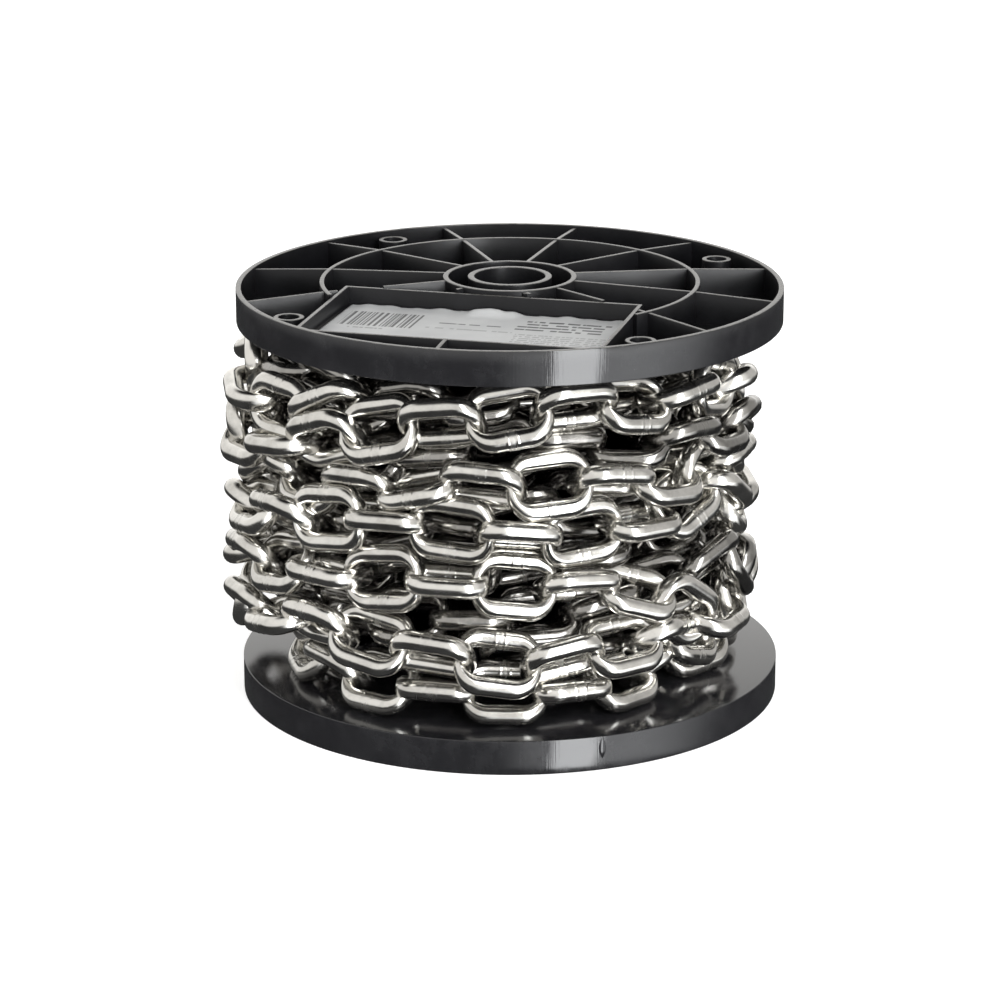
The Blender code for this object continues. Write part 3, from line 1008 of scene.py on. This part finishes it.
def steel_material(name, dark, light):
    # Drawn, welded and tumbled steel wire: clear mirror bands with faint tumbling haze, links that
    # differ a little in tone, and the upset ring of each weld duller than the wire
    material, tree, shader = new_material(name)
    weld = add_node(tree, "ShaderNodeAttribute", attribute_name="weld").outputs["Fac"]
    tone = add_node(tree, "ShaderNodeAttribute", attribute_name="tone").outputs["Fac"]
    place = add_node(tree, "ShaderNodeTexCoord").outputs["Object"]
    haze = noise(tree, place, 90.0, 5.0, 0.6)
    shade = arithmetic(tree, "MULTIPLY_ADD", tone, 0.16, haze)
    feed(shader.inputs["Base Color"], between_colours(tree, shade, dark, light, 0.38, 0.68))
    feed(shader.inputs["Metallic"], 1.0)
    # 1 at the weld and 0 from 3.2 mm off it
    on_weld = spread(tree, arithmetic(tree, "ABSOLUTE", weld), 3.2, 0.6, 0.0, 1.0)
    dull = spread(tree, haze, 0.3, 0.7, 0.15, 0.24)
    feed(shader.inputs["Roughness"], arithmetic(tree, "MULTIPLY_ADD", on_weld, 0.07, dull))
    add_bump(tree, shader, noise(tree, place, 420.0, 3.0), strength=0.10, distance=0.0004)
    return material


# Polystyrene whose colour and roughness follow one cloud of wear (scale, detail, roughness)
def polystyrene(name, wear, colours, gloss):
    material, tree, shader = new_material(name)
    place = add_node(tree, "ShaderNodeTexCoord").outputs["Object"]
    cloud = noise(tree, place, *wear)
    feed(shader.inputs["Base Color"], between_colours(tree, cloud, *colours))
    feed(shader.inputs["Roughness"], spread(tree, cloud, *gloss))
    feed(shader.inputs["IOR"], 1.55)
    return material, tree, shader, place


def ribbed_plastic_material():
    # Black polystyrene off the open side of the mould: half gloss, with scuffs and a little dust
    wear = (35.0, 6.0, 0.65)
    colours = ("#0D0D0F", "#1C1C1F", 0.35, 0.8)
    gloss = (0.3, 0.75, 0.28, 0.42)
    material, tree, shader, place = polystyrene("moulded_black_polystyrene", wear, colours, gloss)
    feed(shader.inputs["Specular IOR Level"], 0.3)
    add_bump(tree, shader, noise(tree, place, 260.0, 4.0), strength=0.06, distance=0.0004)
    return material


def polished_plastic_material():
    # The same polystyrene where the mould is polished: glossy, with fine upright draw lines on
    # the rim and rubbed patches where chain and hands have touched it
    wear = (55.0, 8.0, 0.7)
    colours = ("#1E1E20", "#2A2A2C", 0.45, 0.75)
    gloss = (0.45, 0.75, 0.08, 0.22)
    material, tree, shader, place = polystyrene("polished_black_polystyrene", wear, colours, gloss)
    upright = add_node(tree, "ShaderNodeMapping", {"Vector": place, "Scale": (1.0, 1.0, 0.03)})
    lines = noise(tree, upright.outputs["Vector"], 1500.0, 3.0)
    add_bump(tree, shader, lines, strength=0.14, distance=0.0002)
    return material


def edge_highlight_plastic_material():
    # Upward tops of the moulding's edges made duller and painted pale, a painted highlight that reads as
    # thin light lines
    wear = (120.0, 6.0, 0.7)
    colours = ("#2E2E2F", "#6E6C68", 0.35, 0.65)
    gloss = (0.3, 0.7, 0.22, 0.36)
    return polystyrene("edge_highlight_black_polystyrene", wear, colours, gloss)[0]


# Part of the label inside four edges, given as shares of its width and depth
def patch(tree, across, out, edges):
    left, right, low, high = edges
    soft = 0.004
    wide = window(tree, across, (left - soft, left, right, right + soft))
    tall = window(tree, out, (low - soft, low, high, high + soft))
    return times(tree, wide, tall)


# Strips of uneven length drawn along a value, which stand where the real label has its print
def strips(tree, value, scale, share):
    inputs = {"W": value, "Scale": scale, "Detail": 1.0}
    grain = add_node(tree, "ShaderNodeTexNoise", inputs, noise_dimensions="1D")
    soft = 0.02
    return spread(tree, grain.outputs["Fac"], 1 - share - soft, 1 - share + soft, 0.0, 1.0)


# Rows of strips that fill a patch, each row broken at other places
def ruled_patch(tree, across, out, edges, rows, scale):
    scaled = spread(tree, out, edges[2], edges[3], 0.0, float(rows))
    line = window(tree, arithmetic(tree, "FRACT", scaled), (0.24, 0.30, 0.70, 0.76))
    along = arithmetic(tree, "MULTIPLY_ADD", arithmetic(tree, "FLOOR", scaled), 7.3, across)
    inked = times(tree, line, strips(tree, along, scale, 0.55))
    return times(tree, inked, patch(tree, across, out, edges))


def paper_material():
    # Coated label paper, pale grey and a little rubbed, printed with plain bars and broken rules
    material, tree, shader = new_material("printed_label_paper")
    place = add_node(tree, "ShaderNodeTexCoord")
    split = add_node(tree, "ShaderNodeSeparateXYZ", {"Vector": place.outputs["UV"]})
    across = split.outputs["X"]
    out = split.outputs["Y"]
    bars = times(tree, strips(tree, across, 95.0, 0.5), patch(tree, across, out, (0.03, 0.29, 0.45, 0.82)))
    ink = times(tree, bars, 0.85)
    # Ruled patches: edges, number of rows, strips across the label, darkness
    ruled = (
        ((0.08, 0.20, 0.36, 0.42), 1, 60.0, 0.45),
        ((0.37, 0.61, 0.62, 0.67), 1, 24.0, 0.80),
        ((0.34, 0.64, 0.48, 0.54), 1, 40.0, 0.35),
        ((0.64, 0.95, 0.58, 0.87), 4, 30.0, 0.85),
        ((0.66, 0.99, 0.20, 0.50), 6, 70.0, 0.40),
    )
    for edges, rows, scale, dark in ruled:
        mask = ruled_patch(tree, across, out, edges, rows, scale)
        ink = arithmetic(tree, "MAXIMUM", ink, times(tree, mask, dark))
    fibre = noise(tree, place.outputs["Object"], 60.0, 6.0)
    paper = between_colours(tree, fibre, "#BDBEBF", "#CDCECE", 0.3, 0.7)
    # Sockets 6, 7 and 2 are the colours of this node: paper, ink and the result
    inputs = {0: ink, 6: paper, 7: linear_colour("#2A2B2E")}
    mix = add_node(tree, "ShaderNodeMix", inputs, data_type="RGBA")
    feed(shader.inputs["Base Color"], mix.outputs[2])
    feed(shader.inputs["Roughness"], 0.5)
    return material


def make_floor():
    mesh = bpy.data.meshes.new("floor")
    half = 6.0
    corners = [(-half, -half, 0), (half, -half, 0), (half, half, 0), (-half, half, 0)]
    mesh.from_pydata(corners, [], [(0, 1, 2, 3)])
    item = add_object("floor", mesh)
    # White sweep that glows a little, so that the reel's shadow all but goes
    material, _, shader = new_material("white_studio_sweep")
    feed(shader.inputs["Base Color"], linear_colour("#F4F4F3"))
    feed(shader.inputs["Roughness"], 0.8)
    feed(shader.inputs["Emission Color"], (1.0, 1.0, 1.0, 1.0))
    feed(shader.inputs["Emission Strength"], FLOOR_GLOW)
    mesh.materials.append(material)
    # The polished rims mirror the studio's low windows and not the floor
    item.visible_glossy = False


# The studio is the world: a warm white surround, dark low down and overhead, and one tall strip
# window at the right that gives wire and rims their sharp bright band, with dimmer ones beside it.
# Angles go round from the camera's side, + to the right. Heights are sines of the elevation.
def make_studio():
    world = bpy.data.worlds.new("studio")
    bpy.context.scene.world = world
    world.use_nodes = True
    tree = world.node_tree
    surround = tree.nodes["Background"]
    place = add_node(tree, "ShaderNodeTexCoord").outputs["Generated"]
    split = add_node(tree, "ShaderNodeSeparateXYZ", {"Vector": place})
    height = split.outputs["Z"]
    towards = times(tree, split.outputs["Y"], -1.0)
    angle = times(tree, arithmetic(tree, "ARCTAN2", split.outputs["X"], towards), math.degrees(1.0))
    ramp = add_node(tree, "ShaderNodeValToRGB", {"Fac": spread(tree, angle, -180.0, 180.0, 0.0, 1.0)})
    elements = ramp.color_ramp.elements
    for number, (degrees, level) in enumerate(SURROUND):
        element = elements[number] if number < 2 else elements.new((degrees + 180) / 360)
        element.color = (level, level * 0.99, level * 0.97, 1.0)
    band = window(tree, height, SURROUND_HEIGHTS)
    feed(surround.inputs["Color"], ramp.outputs["Color"])
    feed(surround.inputs["Strength"], times(tree, band, SURROUND_STRENGTH))
    total = None
    for sides, ends, level in WINDOWS:
        opening = times(tree, window(tree, angle, sides), window(tree, height, ends))
        light = times(tree, opening, level)
        total = light if total is None else arithmetic(tree, "ADD", total, light)
    cool = add_node(tree, "ShaderNodeBackground", {"Strength": total, "Color": (0.97, 0.985, 1.0, 1.0)})
    both = add_node(tree, "ShaderNodeAddShader", enumerate((surround.outputs[0], cool.outputs[0])))
    feed(tree.nodes["World Output"].inputs["Surface"], both.outputs[0])
    bpy.context.scene.view_settings.view_transform = "Standard"


def make_camera():
    data = bpy.data.cameras.new("camera")
    data.lens = CAMERA_LENS
    data.sensor_width = 36.0
    data.shift_x, data.shift_y = CAMERA_SHIFT
    data.clip_end = 50.0
    item = add_object("camera", data)
    back = CAMERA_DISTANCE * math.cos(CAMERA_ELEVATION)
    up = CAMERA_DISTANCE * math.sin(CAMERA_ELEVATION)
    item.location = (REEL_AXIS_X * MM, -back * MM, (REEL_HEIGHT / 2 + up) * MM)
    item.rotation_euler = (math.pi / 2 - CAMERA_ELEVATION, 0.0, 0.0)
    bpy.context.scene.camera = item


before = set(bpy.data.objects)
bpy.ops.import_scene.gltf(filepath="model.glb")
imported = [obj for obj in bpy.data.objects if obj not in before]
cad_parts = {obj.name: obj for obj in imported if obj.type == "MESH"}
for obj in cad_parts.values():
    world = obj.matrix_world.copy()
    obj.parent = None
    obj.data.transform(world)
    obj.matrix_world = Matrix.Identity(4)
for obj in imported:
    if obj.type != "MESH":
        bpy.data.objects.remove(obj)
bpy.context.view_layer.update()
make_camera()
make_studio()
make_floor()
# Moulded and polished plastic, and a pale copy that paints a highlight on edge tops
plastics = (ribbed_plastic_material(), polished_plastic_material(), edge_highlight_plastic_material())
make_foot_flange(plastics)
make_drum(plastics[0])
# One steel in three tones: the outer layer lit, and the second and inner layers darker as painted shade
wind_chain(
    steel_material("tumbled_drawn_steel", "#C2C0BB", "#DCDAD5"),
    steel_material("painted_shade_drawn_steel", "#858380", "#9C9A96"),
    steel_material("painted_deep_shade_steel", "#3C3B39", "#4E4C4A"),
)
make_top_flange(plastics)
make_label(paper_material())
